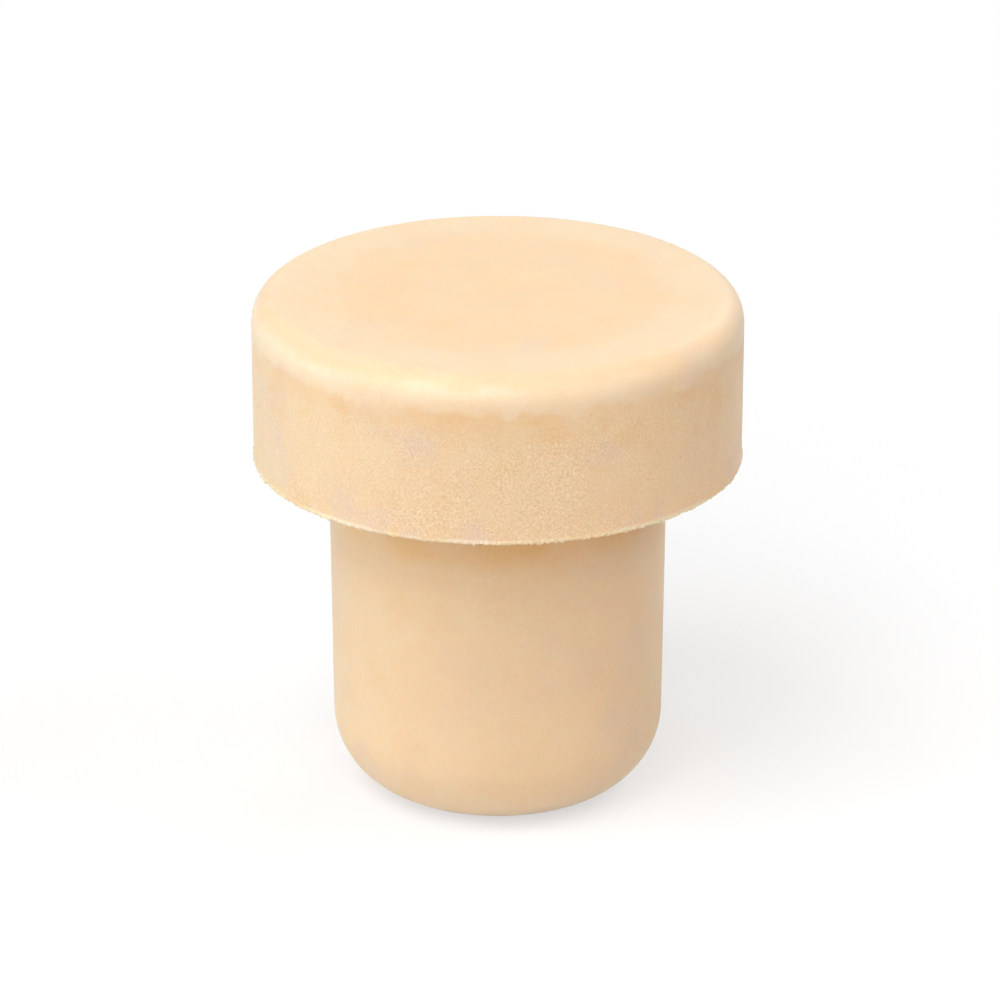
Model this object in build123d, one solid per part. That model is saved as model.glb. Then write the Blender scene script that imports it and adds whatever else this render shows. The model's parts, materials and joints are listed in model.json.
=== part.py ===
from build123d import *
import os
from math import radians, tan

# Cork stopper: one moulded piece, a broad round head on a plain tapered shank that plugs a
# bottle's neck. Millimetres, +Z up. The origin is the centre of the flat at the shank's tip,
# on the stopper's axis, so the stopper stands on it. The head's lower edge stays sharp: the
# mould parts there.

# Head
head_diameter = 28.5     # where the side would meet the top if its edge were sharp
head_height = 10.0       # from the seat ring on the underside to the flat top
head_draft = 0.41        # degrees that the side leans in on its way down
shoulder_radius = 1.65   # soft edge round the top

# Shank
shank_length = 20.45     # from the seat ring to the tip
root_diameter = 19.67    # where the shank would meet the seat ring without its bevel
shank_taper = 0.77       # degrees a side, narrower at the tip
tip_radius = 4.77        # large round that starts the stopper into the neck
root_bevel = 0.35        # slope in the corner under the head, too small to hold a lip off


def half_section():
    """Outline of one half of the stopper, from the tip to the top, closed along the axis."""
    seat_z = shank_length
    top_z = seat_z + head_height

    root_r = root_diameter / 2
    tip_r = root_r - shank_length * tan(radians(shank_taper))
    bevel_r = root_r - root_bevel * tan(radians(shank_taper))
    head_r = head_diameter / 2
    rim_r = head_r - head_height * tan(radians(head_draft))

    tip_corner = (tip_r, 0)
    bevel_foot = (bevel_r, seat_z - root_bevel)
    bevel_top = (root_r + root_bevel, seat_z)
    rim_corner = (rim_r, seat_z)
    shoulder_corner = (head_r, top_z)

    with BuildSketch(Plane.XZ) as section:
        with BuildLine():
            FilletPolyline(
                (0, 0),
                tip_corner,
                bevel_foot,
                bevel_top,
                rim_corner,
                shoulder_corner,
                (0, top_z),
                radius=[0, tip_radius, 0, 0, 0, shoulder_radius, 0],
                close=True,
            )
        make_face()
    return section.sketch


def make_stopper():
    """The whole stopper: its half section turned once about the axis."""
    with BuildPart() as stopper:
        add(half_section())
        revolve(axis=Axis.Z)
    return stopper.part


os.makedirs("parts", exist_ok=True)
export_step(make_stopper(), "parts/stopper.step")
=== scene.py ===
# Finishes the cork stopper: one moulded foam body with a crumbly mould edge, its waxy cream
# skin, a pale floor and soft studio light. Metres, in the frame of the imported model.
import json
import math

import bpy
from bpy.props import FloatProperty, FloatVectorProperty, IntProperty, PointerProperty
from mathutils import Euler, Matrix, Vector


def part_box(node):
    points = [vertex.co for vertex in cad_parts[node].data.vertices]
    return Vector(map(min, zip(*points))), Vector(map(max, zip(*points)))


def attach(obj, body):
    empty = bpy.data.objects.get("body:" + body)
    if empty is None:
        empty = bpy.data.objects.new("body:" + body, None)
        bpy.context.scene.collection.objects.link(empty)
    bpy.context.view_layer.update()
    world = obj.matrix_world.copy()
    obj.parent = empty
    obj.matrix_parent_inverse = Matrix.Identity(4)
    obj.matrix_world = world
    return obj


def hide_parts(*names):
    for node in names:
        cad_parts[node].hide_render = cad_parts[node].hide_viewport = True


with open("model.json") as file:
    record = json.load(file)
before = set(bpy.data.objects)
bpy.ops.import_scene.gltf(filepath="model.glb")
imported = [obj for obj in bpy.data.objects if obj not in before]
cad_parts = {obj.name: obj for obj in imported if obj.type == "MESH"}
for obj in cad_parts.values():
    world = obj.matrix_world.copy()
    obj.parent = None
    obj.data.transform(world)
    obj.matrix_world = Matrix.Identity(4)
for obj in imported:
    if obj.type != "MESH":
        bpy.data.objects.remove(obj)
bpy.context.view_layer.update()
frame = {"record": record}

bl_info = {
    "name": "Cork stopper",
    "version": (1, 0, 0),
    "blender": (4, 5, 0),
    "location": "3D View > Sidebar > Cork stopper",
    "description": "Makes a moulded cork stopper and the plain studio that it stands in",
    "category": "Object",
}

NODE = "stopper"
MM = 0.001

MOUNTS = {mount["name"]: Vector(mount["pos_m"]) for mount in frame["record"]["mounts"]}
TOP_HEIGHT = MOUNTS["top_face"].z
SEAT_HEIGHT = MOUNTS["lip_seat"].z
HEAD_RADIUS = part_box(NODE)[1].x

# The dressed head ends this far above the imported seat, so that its crumbs reach down to it.
CRUMB_ROOM = 0.1 * MM


# Settings that show in the sidebar

def length_value(label, default, about):
    """A size that shows in the sidebar in the scene's own length unit."""
    return FloatProperty(name=label, description=about, default=default, min=0, unit="LENGTH")


def share_value(label, default, about):
    """A share from 0 to 1."""
    return FloatProperty(
        name=label, description=about, default=default, min=0, max=1, subtype="FACTOR"
    )


def angle_value(label, degrees, about):
    """An angle, kept in radians and shown in degrees."""
    return FloatProperty(
        name=label, description=about, default=math.radians(degrees), subtype="ANGLE", unit="ROTATION"
    )


def colour_value(label, default, about):
    """A plain colour, linear."""
    return FloatVectorProperty(
        name=label, description=about, default=default, min=0, max=1, size=3, subtype="COLOR"
    )


def power_value(label, watts, about):
    """The power of a lamp."""
    return FloatProperty(name=label, description=about, default=watts, min=0, unit="POWER")


class StopperSizes(bpy.types.PropertyGroup):
    """Sizes of the moulded body, in metres."""

    head_radius: length_value("Head radius", HEAD_RADIUS, "Widest radius, under the shoulder")
    top_height: length_value("Top height", TOP_HEIGHT, "From the tip to the flat top")
    seat_height: length_value(
        "Seat height", SEAT_HEIGHT + CRUMB_ROOM, "From the tip to the underside, without its crumbs"
    )
    head_draft: angle_value("Head draft", 0.41, "How much the side leans in on its way down")
    shoulder_radius: length_value("Shoulder radius", 1.65 * MM, "Soft edge round the top")
    edge_radius: length_value("Mould edge radius", 0.1 * MM, "Crisp edge round the underside")
    root_radius: length_value("Root radius", 9.835 * MM, "Radius of the shank under the head")
    shank_taper: angle_value("Shank taper", 0.77, "How much the shank narrows towards its tip")
    corner_radius: length_value("Corner radius", 0.35 * MM, "Round in the corner under the head")
    tip_radius: length_value("Tip radius", 4.77 * MM, "Large round at the tip of the shank")
    segments: IntProperty(
        name="Segments", description="Faces round the mould edge", default=1536, min=128
    )
    swell: length_value("Swell", 0.035 * MM, "Height of the slow unevenness of the skin")
    relief: length_value("Relief", 0.008 * MM, "Height of the fine unevenness of the skin")
    crumb_width: length_value("Crumb width", 0.16 * MM, "Width of a crumb on the mould edge")
    crumb_height: length_value("Crumb height", 0.16 * MM, "How far the tallest crumbs stand out")
    seed: IntProperty(name="Seed", description="Fixed seed of everything uneven", default=7)


class CorkFinish(bpy.types.PropertyGroup):
    """Colours and grain of the foam."""

    cream: colour_value("Cream", (0.88, 0.65, 0.4), "Main colour of the foam")
    peach: colour_value("Peach", (0.875, 0.6, 0.345), "Warmer colour of the soft mottles")
    ash: colour_value("Ash", (0.835, 0.615, 0.43), "Greyer colour of the soft mottles")
    # This colour also paints the shade in the corner under the head.
    toasted_and_shade: colour_value("Toasted", (0.82, 0.5, 0.19), "Golden brown where the mould was hottest")
    # This colour also paints the highlight on the shoulder and the light from the floor on the tip.
    pale: colour_value("Pale", (0.95, 0.83, 0.66), "Colour of thin and rubbed edges")
    grain_size: length_value("Grain size", 0.12 * MM, "Size of one grain of the stipple")
    grain_depth: length_value("Grain depth", 0.008 * MM, "Depth of the stipple")
    roughness: share_value("Roughness", 0.46, "How matte the foam is")


class StudioSetting(bpy.types.PropertyGroup):
    """The camera and the light, as they are in the photograph."""

    camera_distance: length_value("Camera distance", 0.4538, "From the middle of the stopper")
    camera_height: angle_value("Camera height", 22.345, "Angle of the camera above the stopper")
    camera_tilt: angle_value("Camera tilt", 22.076, "How far the camera looks down")
    camera_turn: angle_value("Camera turn", -0.0177, "How far the camera looks to the left")
    focal_length: FloatProperty(
        name="Focal length", description="On a 36 mm sensor", default=279.92, min=1, unit="CAMERA"
    )
    ambient: share_value("Ambient", 0.1, "Light from all round the room")
    key_light: power_value("Key light", 4.2, "Soft box high at the left")
    front_light: power_value("Front light", 2.8, "Soft box over the camera")
    left_light: power_value("Left light", 2.75, "Low soft box at the left")
    right_light: power_value("Right light", 1.8, "Soft box at the right")
    back_light: power_value("Back light", 1.5, "Soft box behind, at the right")
    top_light: power_value("Top light", 0.9, "Soft box overhead")
    floor_colour: colour_value("Floor colour", (0.8, 0.8, 0.8), "Colour of the floor")
    floor_shadow: share_value("Floor shadow", 0.4, "How strongly the shadow shows on the floor")


class NodeWork:
    """Adds nodes to one tree and joins them, so that a tree reads like its formula."""

    def __init__(self, tree):
        self.tree = tree

    def put(self, socket, value):
        """Joins an output to the socket, or sets the socket to a plain value."""
        if isinstance(value, bpy.types.NodeSocket):
            self.tree.links.new(value, socket)
        else:
            socket.default_value = value

    def add(self, kind, inputs=None, **settings):
        """A node with its settings, and its inputs given by name or by place."""
        node = self.tree.nodes.new(kind)
        for key, value in settings.items():
            setattr(node, key, value)
        for key, value in (inputs or {}).items():
            self.put(node.inputs[key], value)
        return node

    def calc(self, operation, *values):
        """The result of a Math node."""
        node = self.add("ShaderNodeMath", dict(enumerate(values)), operation=operation)
        return node.outputs[0]

    def product(self, first, *others):
        """All the values multiplied."""
        for other in others:
            first = self.calc("MULTIPLY", first, other)
        return first

    def total(self, first, *others):
        """All the values added."""
        for other in others:
            first = self.calc("ADD", first, other)
        return first

    def less(self, value, taken):
        """The first value less the second."""
        return self.calc("SUBTRACT", value, taken)

    def vector_calc(self, operation, *values):
        """The result of a Vector Math node."""
        places = [0, "Scale"] if operation == "SCALE" else range(len(values))
        node = self.add("ShaderNodeVectorMath", dict(zip(places, values)), operation=operation)
        return node.outputs["Value" if operation == "LENGTH" else "Vector"]

    def xyz(self, x, y, z):
        """A vector from its three parts."""
        return self.add("ShaderNodeCombineXYZ", {0: x, 1: y, 2: z}).outputs[0]

    def parts(self, vector):
        """The three parts of a vector, or of a colour."""
        return self.add("ShaderNodeSeparateXYZ", {0: vector}).outputs

    def step(self, value, low, high, to_low=0.0, to_high=1.0):
        """A soft step of value from low to high."""
        ends = {"From Min": low, "From Max": high, "To Min": to_low, "To Max": to_high}
        node = self.add(
            "ShaderNodeMapRange", {"Value": value, **ends}, interpolation_type="SMOOTHSTEP"
        )
        return node.outputs["Result"]

    def noise(self, place, width, detail=2.0, rough=0.5, shift=0.0):
        """Noise from 0 to 1 about 0.5, with lumps of that width in metres."""
        moved = self.vector_calc("ADD", place, (shift, shift * 0.5, -shift))
        scale = self.calc("DIVIDE", 1.0, width)
        values = {"Vector": moved, "Scale": scale, "Detail": detail, "Roughness": rough}
        return self.add("ShaderNodeTexNoise", values).outputs[0]

    def cells(self, place, width):
        """Voronoi cells of that width in metres: the node, for its distance and its colour."""
        return self.add(
            "ShaderNodeTexVoronoi", {"Vector": place, "Scale": self.calc("DIVIDE", 1.0, width)}
        )

    def mix_colour(self, share, first, second, blend="MIX"):
        """The two colours mixed, with that share of the second."""
        node = self.add(
            "ShaderNodeMix", {0: share, 6: first, 7: second}, data_type="RGBA", blend_type=blend
        )
        return node.outputs[2]

    def tinted(self, colour, tint, strength):
        """The colour with that share of red, green and blue more, or less."""
        factor = self.vector_calc("ADD", self.vector_calc("SCALE", tint, strength), (1.0, 1.0, 1.0))
        return self.mix_colour(1.0, colour, factor, "MULTIPLY")

    def choose(self, kind, index, *values):
        """The value with that index."""
        node = self.add("GeometryNodeIndexSwitch", data_type=kind)
        while len(node.index_switch_items) < len(values):
            node.index_switch_items.new()
        self.put(node.inputs[0], index)
        for place, value in enumerate(values):
            self.put(node.inputs[place + 1], value)
        return node.outputs[0]


def new_tree(name, kind, sockets_in, sockets_out):
    """A node tree with named inputs and outputs, and the work on it."""
    tree = bpy.data.node_groups.new(name, kind)
    for label, socket_type in sockets_in:
        tree.interface.new_socket(label, in_out="INPUT", socket_type=socket_type)
    for label, socket_type in sockets_out:
        tree.interface.new_socket(label, in_out="OUTPUT", socket_type=socket_type)
    work = NodeWork(tree)
    given = work.add("NodeGroupInput").outputs
    result = work.add("NodeGroupOutput").inputs
    return tree, work, given, result


# The moulded body

# Rows of faces from the middle of the tip, along the half section, to the middle of the top:
# the length of each stretch in millimetres, and how many of the rows it gets.
ROW_STRETCHES = [
    ("tip flat", 4.9, 10),
    ("tip round", 7.4, 30),
    ("shank", 15.1, 46),
    ("corner", 0.8, 8),
    ("seat", 3.4, 12),
    ("mould edge", 1.3, 22),
    ("side", 7.3, 34),
    ("shoulder", 2.9, 22),
    ("top", 12.5, 35),
]
ROWS = sum(stretch[2] for stretch in ROW_STRETCHES)
CORNER_STEPS = 32              # points on each rounded corner of the half section

# Faces are fine near the mould edge and wide elsewhere, and change between these two distances
# from it. Where they may be wide, columns of faces join in pairs, at most this many times over.
FINE_FACE = 0.05 * MM
WIDE_FACE = 0.33 * MM
FINE_ZONE = (0.45 * MM, 0.65 * MM)
MOST_HALVINGS = 6.0
MERGE_DISTANCE = 1e-7

SEED_SHIFT = 0.013             # how far one seed moves the noise
FLAT_TIP = (0.0, 0.6 * MM)     # the skin turns uneven over this height, so the stopper stands flat

# Crumbs stand on the mould edge: how near to it, the round form of each, the share of the cells
# that have one, and the thin places of the row.
CRUMB_ZONE = (0.24 * MM, 0.1 * MM)
CRUMB_DOME = (0.6, 0.1)
CRUMB_CHANCE = (0.15, 0.35)
CRUMB_CLUMPS = (0.4, 0.6, 0.35, 1.0)
LIP_STRENGTH = 0.5             # ragged lip between the crumbs, as a share of their height


def rows_along_section(work, share):
    """Maps the share of the rows to the share of the section's length."""
    node = work.add("ShaderNodeFloatCurve", {"Value": share})
    mapping = node.mapping
    mapping.use_clip = True
    curve = mapping.curves[0]
    length = sum(stretch[1] for stretch in ROW_STRETCHES)
    along = 0.0
    count = 0
    for _, stretch_length, stretch_rows in ROW_STRETCHES[:-1]:
        along += stretch_length
        count += stretch_rows
        curve.points.new(count / ROWS, along / length)
    for point in curve.points:
        point.handle_type = "VECTOR"
    mapping.update()
    return node.outputs["Value"]


def section_curve(work, given):
    """The half section as a curve in the XZ plane with its corners rounded, and its rim's radius."""
    index = work.add("GeometryNodeInputIndex").outputs[0]
    root_r, head_r = given["Root Radius"], given["Head Radius"]
    seat, top = given["Seat Height"], given["Top Height"]
    tip_r = work.less(root_r, work.product(seat, work.calc("TANGENT", given["Shank Taper"])))
    head_height = work.less(top, seat)
    edge_r = work.less(head_r, work.product(head_height, work.calc("TANGENT", given["Head Draft"])))
    corners = [
        (0.0, 0.0, 0.0),
        (tip_r, 0.0, given["Tip Radius"]),
        (root_r, seat, given["Corner Radius"]),
        (edge_r, seat, given["Edge Radius"]),
        (head_r, top, given["Shoulder Radius"]),
        (0.0, top, 0.0),
    ]
    line = work.add("GeometryNodeCurvePrimitiveLine").outputs[0]
    line = work.add("GeometryNodeResampleCurve", {"Curve": line, "Count": len(corners)}).outputs[0]
    place = work.choose("VECTOR", index, *[work.xyz(r, 0.0, z) for r, z, _ in corners])
    line = work.add("GeometryNodeSetPosition", {"Geometry": line, "Position": place}).outputs[0]
    rounding = work.choose("FLOAT", index, *[radius for _, _, radius in corners])
    rounded = work.add(
        "GeometryNodeFilletCurve",
        {"Curve": line, "Radius": rounding, "Count": CORNER_STEPS},
        mode="POLY",
    )
    return rounded.outputs[0], edge_r


def distance_from_edge(work, given, radius, height, edge_r):
    """The distance of a point from the mould edge, in the half section."""
    out = work.less(radius, edge_r)
    up = work.less(height, given["Seat Height"])
    return work.vector_calc("LENGTH", work.xyz(out, up, 0.0))


def joined_column(work, given, column, radius, from_edge):
    """The column that this one joins, so that faces stay even where the stopper is narrow."""
    segments = given["Segments"]
    face_width = work.step(from_edge, *FINE_ZONE, FINE_FACE, WIDE_FACE)
    around = work.product(radius, math.tau)
    needed = work.calc("MAXIMUM", work.calc("DIVIDE", around, face_width), 1.0)
    halvings = work.calc("LOGARITHM", work.calc("DIVIDE", segments, needed), 2.0)
    halvings = work.calc("MINIMUM", work.calc("MAXIMUM", halvings, 0.0), MOST_HALVINGS)
    width = work.calc("POWER", 2.0, work.calc("FLOOR", halvings))
    place = work.calc("FLOOR", work.calc("DIVIDE", work.total(column, 0.01), width))
    return work.calc("MODULO", work.product(place, width), segments)


def moulded_body_tree():
    """Turns the half section about the axis and gives the skin its unevenness and mould edge."""
    lengths = [
        "Head Radius", "Top Height", "Seat Height", "Head Draft", "Shoulder Radius", "Edge Radius",
        "Root Radius", "Shank Taper", "Corner Radius", "Tip Radius", "Swell", "Relief",
        "Crumb Width", "Crumb Height",
    ]
    sockets = [(label, "NodeSocketFloat") for label in lengths]
    sockets += [("Segments", "NodeSocketInt"), ("Seed", "NodeSocketInt")]
    sockets += [("Finish", "NodeSocketMaterial")]
    tree, work, given, result = new_tree(
        "moulded_body", "GeometryNodeTree", sockets, [("Geometry", "NodeSocketGeometry")]
    )
    section, edge_r = section_curve(work, given)

    # The grid's points run along one column after another.
    columns = work.total(given["Segments"], 1.0)
    grid = work.add("GeometryNodeMeshGrid", {"Vertices X": columns, "Vertices Y": ROWS + 1})
    index = work.add("GeometryNodeInputIndex").outputs[0]
    column = work.calc("FLOOR", work.calc("DIVIDE", work.total(index, 0.5), float(ROWS + 1)))
    row = work.less(index, work.product(column, float(ROWS + 1)))
    along = rows_along_section(work, work.calc("DIVIDE", row, float(ROWS)))
    sample = work.add(
        "GeometryNodeSampleCurve",
        {"Curves": section, "Factor": along},
        mode="FACTOR",
        use_all_curves=True,
    )
    radius, _, height = work.parts(sample.outputs["Position"])

    from_edge = distance_from_edge(work, given, radius, height, edge_r)
    column = joined_column(work, given, column, radius, from_edge)
    angle = work.product(work.calc("DIVIDE", column, given["Segments"]), math.tau)
    x = work.product(radius, work.calc("COSINE", angle))
    y = work.product(radius, work.calc("SINE", angle))
    body = work.add(
        "GeometryNodeSetPosition",
        {"Geometry": grid.outputs["Mesh"], "Position": work.xyz(x, y, height)},
    ).outputs[0]
    body = work.add(
        "GeometryNodeMergeByDistance", {"Geometry": body, "Distance": MERGE_DISTANCE}
    ).outputs[0]

    body = work.add(
        "GeometryNodeSetPosition", {"Geometry": body, "Offset": skin_offset(work, given, edge_r)}
    ).outputs[0]
    body = work.add("GeometryNodeSetShadeSmooth", {"Geometry": body, "Shade Smooth": True}).outputs[0]
    body = work.add("GeometryNodeRealizeInstances", {"Geometry": body}).outputs[0]
    body = work.add("GeometryNodeSetMaterial", {"Geometry": body, "Material": given["Finish"]})
    work.put(result["Geometry"], body.outputs[0])
    return tree


def skin_offset(work, given, edge_r):
    """How far each point of the skin lies off the true form, and the crumbs on the mould edge."""
    place = work.add("GeometryNodeInputPosition").outputs[0]
    normal = work.add("GeometryNodeInputNormal").outputs[0]
    x, y, z = work.parts(place)
    radius = work.vector_calc("LENGTH", work.xyz(x, y, 0.0))
    shift = work.product(given["Seed"], SEED_SHIFT)
    place = work.vector_calc("ADD", place, work.xyz(shift, shift, shift))

    swell = work.less(work.noise(place, width=7 * MM, detail=1.0), 0.5)
    relief = work.less(work.noise(place, width=0.9 * MM, rough=0.6), 0.5)
    swell = work.product(swell, given["Swell"])
    relief = work.product(relief, given["Relief"])
    uneven = work.product(work.total(swell, relief), work.step(z, *FLAT_TIP))

    near_edge = work.step(distance_from_edge(work, given, radius, z, edge_r), *CRUMB_ZONE)
    crumb = work.cells(place, given["Crumb Width"])
    dome = work.step(crumb.outputs["Distance"], *CRUMB_DOME)
    size, chance, _ = work.parts(crumb.outputs["Color"])
    present = work.step(chance, *CRUMB_CHANCE)
    clumps = work.step(work.noise(place, width=3.5 * MM, rough=0.6), *CRUMB_CLUMPS)
    crumbs = work.product(work.product(dome, size), work.product(present, clumps))
    ragged = work.noise(place, width=0.22 * MM, rough=0.7, shift=0.4)
    lip = work.step(ragged, 0.35, 0.65, 0.0, LIP_STRENGTH)
    proud = work.product(work.total(crumbs, lip), given["Crumb Height"], near_edge)
    offset = work.total(uneven, proud)
    return work.vector_calc("MULTIPLY", normal, work.xyz(offset, offset, offset))


# Where the skin differs, and where a highlight, light from the floor and shade are painted on it.
# Each pair is where a mark starts and where it is full; the two further values, where there are
# any, are its strength before and after.

# In turns over the shoulder, which run from -1 at the side to 1 at the top and on past both.
WANDER = 1.5                   # how far the marks' edges stray, in turns
# The pale band over the shoulder and a faint border of the top: a painted highlight, with some rubbed
# wear.
RUB_AND_HIGHLIGHT_BELOW = (-1.45, -1.0)
RUB_AND_HIGHLIGHT_ABOVE = (0.35, -0.5)
HIGHLIGHT_BORDER_OUTSIDE = (0.0, 0.8)
HIGHLIGHT_BORDER_INSIDE = (3.6, 1.6, 0.0, 0.6)
FRINGE_ABOVE = (-1.05, -1.45)
FRINGE_BELOW = (-2.9, -1.8)
MOTTLED_SIDE = (-0.8, -1.8)
CALM_TOP = (0.0, 1.0, 0.0, 0.25)
STIPPLED_SIDE = (-1.3, -2.4)
SMOOTH_TOP = (0.2, 1.2, 0.0, 0.08)
BELOW_TOP = (0.6, -0.8)

# In metres: past the shank's radius, above the seat, above the tip, and from the mould edge.
PAST_SHANK = (0.6 * MM, 1.6 * MM)
# Where the painted shade in the corner under the head lies.
CORNER_SHADE_BELOW = (-4.4 * MM, -1.8 * MM)
CORNER_SHADE_ABOVE = (1.0 * MM, 0.0)
STIPPLE_ABOVE_EDGE = (0.0, 0.5 * MM)
EDGE_HEIGHT = (0.5 * MM, 0.3 * MM)
EDGE_LEAN = 0.07 * MM          # how much narrower the head is at the mould edge
# Painted light from the floor on the tip.
TIP_FLOOR_LIGHT = (4.5 * MM, 0.5 * MM, 0.0, 0.65)
STANDS_OUT = (0.01 * MM, 0.05 * MM)
PALE_LINE = (0.05 * MM, -0.04 * MM, 0.0, 0.7)
PALE_REACH = 0.18 * MM


def rub_and_light_mask(work, place, turn, z, outside):
    """A painted highlight with some rubbed wear on the shoulder and a faint border of the top, streaks
    on the side, and painted light from the floor on the tip.
    """
    patches = work.noise(place, width=3.4 * MM, shift=0.56)
    # Painted highlight on the shoulder, partly rubbed wear.
    shoulder = work.product(work.step(turn, *RUB_AND_HIGHLIGHT_BELOW), work.step(turn, *RUB_AND_HIGHLIGHT_ABOVE))
    shoulder = work.product(shoulder, work.step(patches, 0.3, 0.6, 0.6, 1.0))
    border = work.product(work.step(turn, *HIGHLIGHT_BORDER_OUTSIDE), work.step(turn, *HIGHLIGHT_BORDER_INSIDE))
    upright = work.vector_calc("MULTIPLY", place, (1.0, 1.0, 0.12))
    streaks = work.step(work.noise(upright, width=0.7 * MM, shift=0.23), 0.58, 0.8, 0.0, 0.3)
    rubbed_and_lit = work.calc("MAXIMUM", work.total(shoulder, border), work.product(streaks, outside))
    # Painted light from the floor on the tip.
    return work.calc("MAXIMUM", rubbed_and_lit, work.step(z, *TIP_FLOOR_LIGHT))


def toast_and_shade_mask(work, place, turn, over_seat, outside):
    """Broken toasted patches under the shoulder, and painted shade in patches in the corner under the
    head.
    """
    flat_place = work.vector_calc("MULTIPLY", place, (1.0, 1.0, 1.8))
    scorch_and_shade = work.noise(flat_place, width=2.3 * MM, detail=3.0, rough=0.6, shift=0.6)
    scorch_and_shade = work.step(scorch_and_shade, 0.42, 0.72)
    fringe = work.product(work.step(turn, *FRINGE_ABOVE), work.step(turn, *FRINGE_BELOW))
    fringe = work.product(fringe, work.total(0.06, work.product(scorch_and_shade, 0.36)))
    # Painted shade in the corner under the head, on the shank, in patches.
    shade_patches = work.noise(place, width=4 * MM, detail=1.0, shift=0.45)
    shade_patches = work.step(shade_patches, 0.4, 0.6, 0.14, 0.72)
    corner = work.product(work.step(over_seat, *CORNER_SHADE_BELOW), work.step(over_seat, *CORNER_SHADE_ABOVE))
    corner = work.product(corner, work.less(1.0, outside))
    corner = work.product(corner, work.total(shade_patches, work.product(scorch_and_shade, 0.35)))
    return work.total(fringe, corner)


def edge_mask(work, place, radius, over_seat, outside, head_radius):
    """What stands out past the mould edge, and a thin ragged line along it."""
    past_side = work.less(radius, work.less(head_radius, EDGE_LEAN))
    past_seat = work.product(over_seat, -1.0)
    near = work.product(work.step(over_seat, *EDGE_HEIGHT), outside)
    crumbs = work.step(work.calc("MAXIMUM", past_side, past_seat), *STANDS_OUT)
    from_edge = work.vector_calc("LENGTH", work.xyz(past_side, past_seat, 0.0))
    ragged = work.noise(place, width=0.3 * MM, detail=3.0, rough=0.65, shift=0.07)
    thick = work.step(work.noise(place, width=4 * MM, detail=1.0, shift=0.37), 0.4, 0.65)
    reach = work.product(work.total(ragged, thick), PALE_REACH)
    line = work.step(work.less(from_edge, reach), *PALE_LINE)
    pale = work.calc("MAXIMUM", work.product(crumbs, 0.45), line)
    pale = work.product(pale, work.total(0.25, work.product(thick, 0.75)))
    return work.product(pale, near)


def stipple_mask(work, place, turn, over_seat, outside):
    """Strong on the side of the head, fainter on the shank, faintest on the top."""
    clumps = work.noise(place, width=2.6 * MM, detail=5.0, rough=0.72, shift=0.58)
    clumps = work.step(clumps, 0.36, 0.64, 0.5, 1.05)
    broad = work.noise(place, width=13 * MM, detail=1.0, shift=0.33)
    broad = work.step(broad, 0.38, 0.58, 0.5, 1.0)
    side = work.product(work.step(turn, *STIPPLED_SIDE), work.step(over_seat, *STIPPLE_ABOVE_EDGE))
    side = work.product(work.product(side, outside), broad)
    stipple = work.total(0.21, work.product(side, 0.72))
    stipple = work.less(stipple, work.step(turn, *SMOOTH_TOP))
    return work.product(stipple, clumps)


ZONE_MASKS = ("Stipple", "Rubbed", "Toasted", "Edge", "Mottle", "Below Top", "Across")


def stopper_zones_group():
    """Masks for the places where moulding and handling leave the skin different, and for the painted
    highlight, light from the floor and shade.
    """
    lengths = ["Head Radius", "Top Height", "Seat Height", "Shoulder Radius", "Root Radius"]
    tree, work, given, result = new_tree(
        "stopper_zones",
        "ShaderNodeTree",
        [(label, "NodeSocketFloat") for label in lengths],
        [(label, "NodeSocketFloat") for label in ZONE_MASKS],
    )
    place = work.add("ShaderNodeTexCoord").outputs["Object"]
    x, y, z = work.parts(place)
    radius = work.vector_calc("LENGTH", work.xyz(x, y, 0.0))
    over_seat = work.less(z, given["Seat Height"])
    outside = work.step(work.less(radius, given["Root Radius"]), *PAST_SHANK)

    from_corner = work.less(work.less(z, given["Top Height"]), work.less(radius, given["Head Radius"]))
    turn = work.calc("DIVIDE", from_corner, given["Shoulder Radius"])
    wander = work.noise(place, width=1.9 * MM, detail=3.0, rough=0.6, shift=0.04)
    turn = work.total(turn, work.product(work.less(wander, 0.5), WANDER))

    work.put(result["Rubbed"], rub_and_light_mask(work, place, turn, z, outside))
    work.put(result["Toasted"], toast_and_shade_mask(work, place, turn, over_seat, outside))
    work.put(
        result["Edge"], edge_mask(work, place, radius, over_seat, outside, given["Head Radius"])
    )
    work.put(result["Stipple"], stipple_mask(work, place, turn, over_seat, outside))

    # Mottle: cloudy patches, strongest on the side of the head and faint on its top.
    by_side = work.product(work.step(turn, *MOTTLED_SIDE), outside)
    mottle = work.total(0.6, work.product(by_side, 0.4))
    work.put(result["Mottle"], work.less(mottle, work.step(turn, *CALM_TOP)))

    # Below Top is 1 on the side and the shank. Across runs from -1 to 1 along X.
    work.put(result["Below Top"], work.step(turn, *BELOW_TOP))
    work.put(result["Across"], work.calc("DIVIDE", x, given["Head Radius"]))
    return tree


# The skin of the foam

# How much red, green and blue change below the top, from there to +X, in the fine clouds and
# in a grain of the stipple. The first two are painted shade: the side and the shank a little darker
# than the top, and warmer towards +X.
BELOW_TOP_SHADE_TINT = (-0.012, -0.012, -0.004)
ACROSS_SHADE_TINT = (0.045, 0.0, -0.035)
BLUSH_TINT = (0.008, -0.009, -0.045)
GRAIN_TINT = (0.15, 0.22, 0.41)

# How far each mark goes towards its own colour.
# How far the painted highlight, the painted floor light and the rubbed wear go towards Pale.
RUB_AND_LIGHT_SHARE = 0.34
EDGE_SHARE = 0.5
DARK_SPECK_SHARE = 0.6
PINHOLE_SHARE = 0.5

SPECK_SIZE = 1.7               # width of the cells that may hold a speck, in grains
LIGHT_SPECKS = (0.93, 0.98, 0.0, 0.8)
DARK_SPECKS = (0.07, 0.02)
PINHOLES = (0.07, 0.05)
PINHOLE_FORM = (0.085, 0.045)


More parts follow.
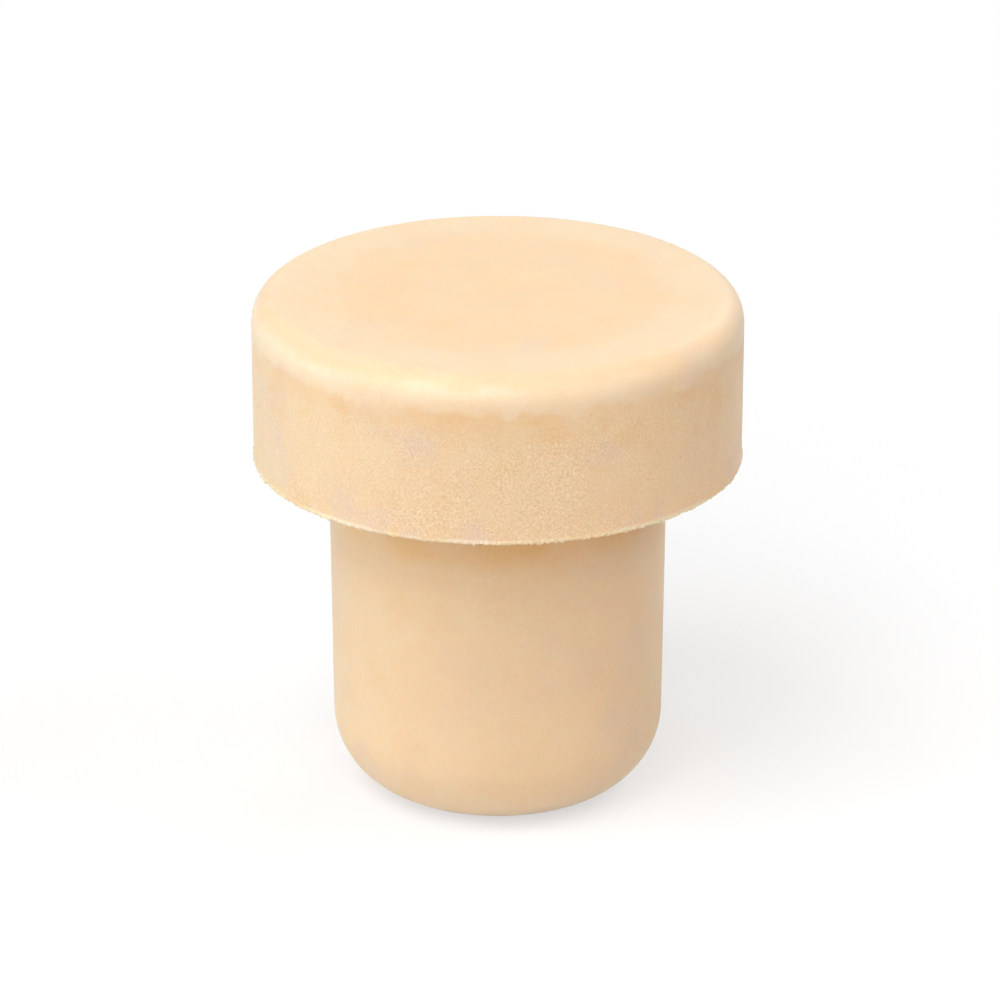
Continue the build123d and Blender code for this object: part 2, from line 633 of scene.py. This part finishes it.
def clouded_colour(work, given, place):
    """The cream with its soft mottles, clouds and painted shade, and the mask of the warm mottles."""
    mottle = work.noise(place, width=3.6 * MM, detail=3.0, rough=0.55, shift=0.49)
    mottle = work.step(mottle, 0.4, 0.7)
    cloud = work.noise(place, width=0.9 * MM, detail=3.0, rough=0.6, shift=0.05)
    cloud = work.step(cloud, 0.35, 0.75)
    warm = work.total(work.product(mottle, 0.45), work.product(cloud, 0.2))
    colour = work.mix_colour(warm, given["Cream"], given["Peach"])

    grey = work.noise(place, width=3.8 * MM, detail=3.0, rough=0.55, shift=0.54)
    grey = work.product(work.step(grey, 0.46, 0.72), given["Mottle"])
    colour = work.mix_colour(grey, colour, given["Ash"])
    ochre = work.noise(place, width=2.9 * MM, detail=3.0, rough=0.6, shift=0.52)
    ochre = work.product(work.step(ochre, 0.5, 0.75, 0.0, 0.3), given["Mottle"])
    colour = work.mix_colour(ochre, colour, given["Toasted Colour"])

    # Painted shade: a little darker below the top, and warmer towards +X.
    painted_side_shade = work.vector_calc("SCALE", ACROSS_SHADE_TINT, given["Across"])
    painted_side_shade = work.vector_calc("ADD", painted_side_shade, BELOW_TOP_SHADE_TINT)
    colour = work.tinted(colour, painted_side_shade, given["Below Top"])
    blush = work.noise(place, width=0.45 * MM, detail=3.0, rough=0.6, shift=0.19)
    colour = work.tinted(colour, BLUSH_TINT, work.step(blush, 0.25, 0.75, -1.0, 1.0))
    return colour, mottle


def foam_skin_group():
    """Colour, roughness and height of the moulded foam, from its place on the stopper."""
    colours = ["Cream", "Peach", "Ash", "Toasted Colour", "Pale"]
    sockets = [(label, "NodeSocketColor") for label in colours]
    sockets += [(label, "NodeSocketFloat") for label in ("Grain Size", "Roughness", *ZONE_MASKS)]
    tree, work, given, result = new_tree(
        "foam_skin",
        "ShaderNodeTree",
        sockets,
        [
            ("Colour", "NodeSocketColor"),
            ("Roughness", "NodeSocketFloat"),
            ("Height", "NodeSocketFloat"),
            ("Bump", "NodeSocketFloat"),
        ],
    )
    place = work.add("ShaderNodeTexCoord").outputs["Object"]
    colour, mottle = clouded_colour(work, given, place)
    # Toasted patches, and painted shade in the corner under the head.
    colour = work.mix_colour(given["Toasted"], colour, given["Toasted Colour"])
    # Painted highlight on the shoulder and painted light from the floor on the tip, with rubbed wear.
    rubbed_and_lit = work.product(given["Rubbed"], RUB_AND_LIGHT_SHARE)
    colour = work.mix_colour(rubbed_and_lit, colour, given["Pale"])

    grain = work.noise(place, given["Grain Size"], rough=0.6, shift=0.03)
    grain_tone = work.step(grain, 0.2, 0.8, -1.0, 1.0)
    colour = work.tinted(colour, GRAIN_TINT, work.product(grain_tone, given["Stipple"]))

    # Specks: a few cells of the stipple are lighter, and a few are darker and sunk.
    speck = work.cells(place, work.product(given["Grain Size"], SPECK_SIZE))
    chance = work.parts(speck.outputs["Color"])[0]
    spot = work.step(speck.outputs["Distance"], 0.5, 0.15)
    light = work.product(work.step(chance, *LIGHT_SPECKS), spot)
    colour = work.mix_colour(work.product(light, given["Stipple"]), colour, given["Pale"])
    dark = work.product(work.step(chance, *DARK_SPECKS), spot)
    darker = work.product(work.product(dark, DARK_SPECK_SHARE), given["Stipple"])
    colour = work.mix_colour(darker, colour, given["Toasted Colour"])

    pinhole = work.cells(place, 1.3 * MM)
    rare = work.step(work.parts(pinhole.outputs["Color"])[0], *PINHOLES)
    hole = work.product(work.step(pinhole.outputs["Distance"], *PINHOLE_FORM), rare)
    colour = work.mix_colour(work.product(hole, PINHOLE_SHARE), colour, given["Toasted Colour"])
    edge = work.product(given["Edge"], EDGE_SHARE)
    work.put(result["Colour"], work.mix_colour(edge, colour, given["Pale"]))

    rough = work.total(given["Roughness"], work.product(grain_tone, 0.07))
    work.put(result["Roughness"], work.total(rough, work.product(mottle, 0.06)))
    sunk = work.total(work.product(dark, -0.8), work.product(hole, -3.0))
    work.put(result["Height"], work.total(grain, sunk))
    work.put(result["Bump"], work.total(0.2, given["Stipple"]))
    return tree


SUBSURFACE_WEIGHT = 0.5
SUBSURFACE_RADIUS = (1.0, 0.5, 0.25)
SUBSURFACE_SCALE = 1.2 * MM


def cork_material(finish, sizes):
    """The cream foam: the groups give what changes over the skin, and the sockets what doesn't."""
    material = bpy.data.materials.new("cork_foam")
    material.use_nodes = True
    work = NodeWork(material.node_tree)
    shader = material.node_tree.nodes["Principled BSDF"]

    lengths = {
        "Head Radius": sizes.head_radius,
        "Top Height": sizes.top_height,
        "Seat Height": sizes.seat_height,
        "Shoulder Radius": sizes.shoulder_radius,
        "Root Radius": sizes.root_radius,
    }
    zones = work.add("ShaderNodeGroup", node_tree=stopper_zones_group())
    skin = work.add("ShaderNodeGroup", node_tree=foam_skin_group())
    for label, length in lengths.items():
        work.put(zones.inputs[label], length)
    values = {
        "Cream": (*finish.cream, 1.0),
        "Peach": (*finish.peach, 1.0),
        "Ash": (*finish.ash, 1.0),
        "Toasted Colour": (*finish.toasted_and_shade, 1.0),
        "Pale": (*finish.pale, 1.0),
        "Grain Size": finish.grain_size,
        "Roughness": finish.roughness,
    }
    for label in ZONE_MASKS:
        values[label] = zones.outputs[label]
    for label, value in values.items():
        work.put(skin.inputs[label], value)
    bump = work.add(
        "ShaderNodeBump",
        {
            "Strength": skin.outputs["Bump"],
            "Distance": finish.grain_depth,
            "Height": skin.outputs["Height"],
        },
    )
    work.put(shader.inputs["Base Color"], skin.outputs["Colour"])
    work.put(shader.inputs["Roughness"], skin.outputs["Roughness"])
    work.put(shader.inputs["Normal"], bump.outputs["Normal"])
    shader.inputs["Subsurface Weight"].default_value = SUBSURFACE_WEIGHT
    shader.inputs["Subsurface Radius"].default_value = SUBSURFACE_RADIUS
    shader.inputs["Subsurface Scale"].default_value = SUBSURFACE_SCALE
    return material


def mesh_from_tree(name, tree, values):
    """The plain mesh object that a node tree makes from those inputs, at the origin."""
    made = bpy.data.objects.new(name, bpy.data.meshes.new(name))
    bpy.context.scene.collection.objects.link(made)
    modifier = made.modifiers.new(name, "NODES")
    modifier.node_group = tree
    for item in tree.interface.items_tree:
        if item.in_out == "INPUT":
            modifier[item.identifier] = values[item.name]
    graph = bpy.context.evaluated_depsgraph_get()
    mesh = bpy.data.meshes.new_from_object(
        made.evaluated_get(graph), preserve_all_data_layers=True, depsgraph=graph
    )
    made.modifiers.remove(modifier)
    made.data = mesh
    if not mesh.polygons:
        raise RuntimeError(f"{name} came out empty")
    return made


class STOPPER_OT_body(bpy.types.Operator):
    """Makes the moulded body, with its finish, in place of the plain one"""

    bl_idname = "stopper.body"
    bl_label = "Moulded body"

    def execute(self, context):
        sizes = context.scene.stopper_sizes
        values = {
            "Head Radius": sizes.head_radius,
            "Top Height": sizes.top_height,
            "Seat Height": sizes.seat_height,
            "Head Draft": sizes.head_draft,
            "Shoulder Radius": sizes.shoulder_radius,
            "Edge Radius": sizes.edge_radius,
            "Root Radius": sizes.root_radius,
            "Shank Taper": sizes.shank_taper,
            "Corner Radius": sizes.corner_radius,
            "Tip Radius": sizes.tip_radius,
            "Swell": sizes.swell,
            "Relief": sizes.relief,
            "Crumb Width": sizes.crumb_width,
            "Crumb Height": sizes.crumb_height,
            "Segments": sizes.segments,
            "Seed": sizes.seed,
            "Finish": cork_material(context.scene.cork_finish, sizes),
        }
        body = mesh_from_tree("moulded_stopper", moulded_body_tree(), values)
        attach(body, "root")
        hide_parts(NODE)
        return {"FINISHED"}


# The studio

SENSOR_WIDTH = 36.0            # in millimetres
FLOOR_SIZE = 3.0
SHADOW_FADES = (0.035, 0.085)  # how far from the stopper its shadow fades out
LAMP_DISTANCE = 0.9
LAMP_SIZE = 0.5

# Each lamp: the setting with its power, its angle round from the camera, and its height.
LAMPS = [
    ("key_light", -40, 60),
    ("front_light", -15, 35),
    ("left_light", -92, 8),
    ("right_light", 80, 48),
    ("back_light", 148, 26),
    ("top_light", 0, 90),
]


def seen_directly(work):
    """1 for what the camera sees, also in a reflection or through glass, and 0 for other light."""
    path = work.add("ShaderNodeLightPath")
    by_gloss = work.calc("MAXIMUM", path.outputs["Is Glossy Ray"], path.outputs["Is Transmission Ray"])
    return work.calc("MAXIMUM", path.outputs["Is Camera Ray"], by_gloss)


def floor_material(colour, shadow):
    """A pale floor that the camera sees white outside the stopper's soft shadow."""
    material = bpy.data.materials.new("pale_floor")
    material.use_nodes = True
    material.node_tree.nodes.clear()
    work = NodeWork(material.node_tree)

    def mixed(share, first, second):
        """The two surfaces mixed, with that share of the second."""
        parts = {0: share, 1: first.outputs[0], 2: second.outputs[0]}
        return work.add("ShaderNodeMixShader", parts)

    plain = work.add("ShaderNodeBsdfDiffuse", {"Color": (*colour, 1.0)})
    white = work.add("ShaderNodeEmission", {"Color": (1.0, 1.0, 1.0, 1.0), "Strength": 1.0})
    shaded = work.add("ShaderNodeBsdfDiffuse", {"Color": (1.0, 1.0, 1.0, 1.0)})
    clear = work.add("ShaderNodeBsdfTransparent")
    place = work.add("ShaderNodeTexCoord").outputs["Object"]
    shadow = work.step(work.vector_calc("LENGTH", place), *SHADOW_FADES, shadow, 0.0)
    lit = mixed(seen_directly(work), plain, mixed(shadow, white, shaded))
    below = work.add("ShaderNodeNewGeometry").outputs["Backfacing"]
    out = work.add("ShaderNodeOutputMaterial")
    work.put(out.inputs["Surface"], mixed(below, lit, clear).outputs[0])
    return material


def white_room(ambient):
    """A world that lights plainly and is seen white."""
    world = bpy.data.worlds.new("white_room")
    bpy.context.scene.world = world
    world.use_nodes = True
    work = NodeWork(world.node_tree)
    strength = work.add(
        "ShaderNodeMapRange", {"Value": seen_directly(work), "To Min": ambient, "To Max": 1.0}
    ).outputs["Result"]
    background = world.node_tree.nodes["Background"]
    background.inputs["Color"].default_value = (1.0, 1.0, 1.0, 1.0)
    work.put(background.inputs["Strength"], strength)


def soft_lamp(name, power, azimuth, elevation):
    """A square soft box that faces the middle of the stopper. Azimuth 0 is the camera's side."""
    data = bpy.data.lights.new(name, "AREA")
    data.energy = power
    data.size = LAMP_SIZE
    lamp = bpy.data.objects.new(name, data)
    bpy.context.scene.collection.objects.link(lamp)
    middle = Vector((0, 0, TOP_HEIGHT / 2))
    side = math.radians(azimuth)
    up = math.radians(elevation)
    away = Vector((math.sin(side) * math.cos(up), -math.cos(side) * math.cos(up), math.sin(up)))
    lamp.location = middle + away * LAMP_DISTANCE
    lamp.rotation_euler = (-away).to_track_quat("-Z", "Y").to_euler()


def studio_camera(setting):
    """The camera at the photograph's angle."""
    data = bpy.data.cameras.new("camera")
    data.lens = setting.focal_length
    data.sensor_width = SENSOR_WIDTH
    camera = bpy.data.objects.new("camera", data)
    bpy.context.scene.collection.objects.link(camera)
    up = setting.camera_height
    camera.location = Vector((0, -math.cos(up), math.sin(up))) * setting.camera_distance
    camera.location.z += TOP_HEIGHT / 2
    camera.rotation_euler = Euler((math.pi / 2 - setting.camera_tilt, 0, setting.camera_turn))
    return camera


class STOPPER_OT_studio(bpy.types.Operator):
    """Makes the floor, the lamps, the white room and the camera"""

    bl_idname = "stopper.studio"
    bl_label = "Studio"

    def execute(self, context):
        scene = context.scene
        setting = scene.studio_setting
        bpy.ops.mesh.primitive_plane_add(size=FLOOR_SIZE)
        floor = context.object
        floor.name = "floor"
        floor.data.materials.append(floor_material(setting.floor_colour, setting.floor_shadow))

        white_room(setting.ambient)
        for name, azimuth, elevation in LAMPS:
            soft_lamp(name, getattr(setting, name), azimuth, elevation)
        scene.camera = studio_camera(setting)
        scene.view_settings.view_transform = "Standard"
        return {"FINISHED"}


class STOPPER_PT_panel(bpy.types.Panel):
    """Lists the stopper's steps in the sidebar"""

    bl_label = "Cork stopper"
    bl_space_type = "VIEW_3D"
    bl_region_type = "UI"
    bl_category = "Cork stopper"

    def draw(self, context):
        for step in STEPS:
            self.layout.operator(step.bl_idname)


GROUPS = {
    "stopper_sizes": StopperSizes,
    "cork_finish": CorkFinish,
    "studio_setting": StudioSetting,
}
STEPS = (STOPPER_OT_body, STOPPER_OT_studio)


def register():
    """Registers the settings, the steps and the panel."""
    for group in (*GROUPS.values(), *STEPS, STOPPER_PT_panel):
        bpy.utils.register_class(group)
    for name, group in GROUPS.items():
        setattr(bpy.types.Scene, name, PointerProperty(type=group))


def unregister():
    """Takes the settings, the steps and the panel away again."""
    for name in GROUPS:
        delattr(bpy.types.Scene, name)
    for group in reversed((*GROUPS.values(), *STEPS, STOPPER_PT_panel)):
        bpy.utils.unregister_class(group)


def main():
    """Makes the stopper and its studio."""
    register()
    bpy.ops.stopper.body()
    bpy.ops.stopper.studio()


if __name__ == "__main__":
    main()
